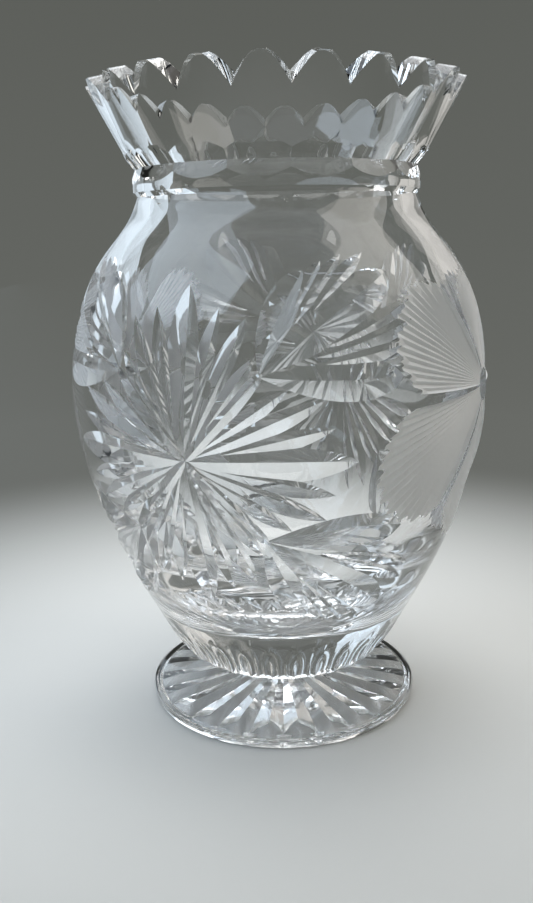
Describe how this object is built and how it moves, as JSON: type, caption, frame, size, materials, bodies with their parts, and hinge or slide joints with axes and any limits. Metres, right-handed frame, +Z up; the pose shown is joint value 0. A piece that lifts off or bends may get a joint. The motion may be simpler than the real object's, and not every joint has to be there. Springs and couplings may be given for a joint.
{
  "type": "vase",
  "caption": "Footed cut crystal vase: egg-shaped body with leaf stars and frosted flowers, grooved neck, flared collar with a scalloped rim.",
  "frame": {"origin": "on the vase's axis, in the plane of the ground ring it stands on", "axes": "+Z up along the vase's axis; -Y is the front, between a leaf star on its left and a flower on its right"},
  "size_m": [0.11, 0.11, 0.165],
  "materials": {
    "crystal": "polished cut lead crystal, with matte wheel-cut flowers",
    "foot_crystal": "polished lead crystal, star cut underneath"
  },
  "bodies": {
    "root": {"bowl": "crystal", "foot": "foot_crystal"}
  },
  "joints": []
}
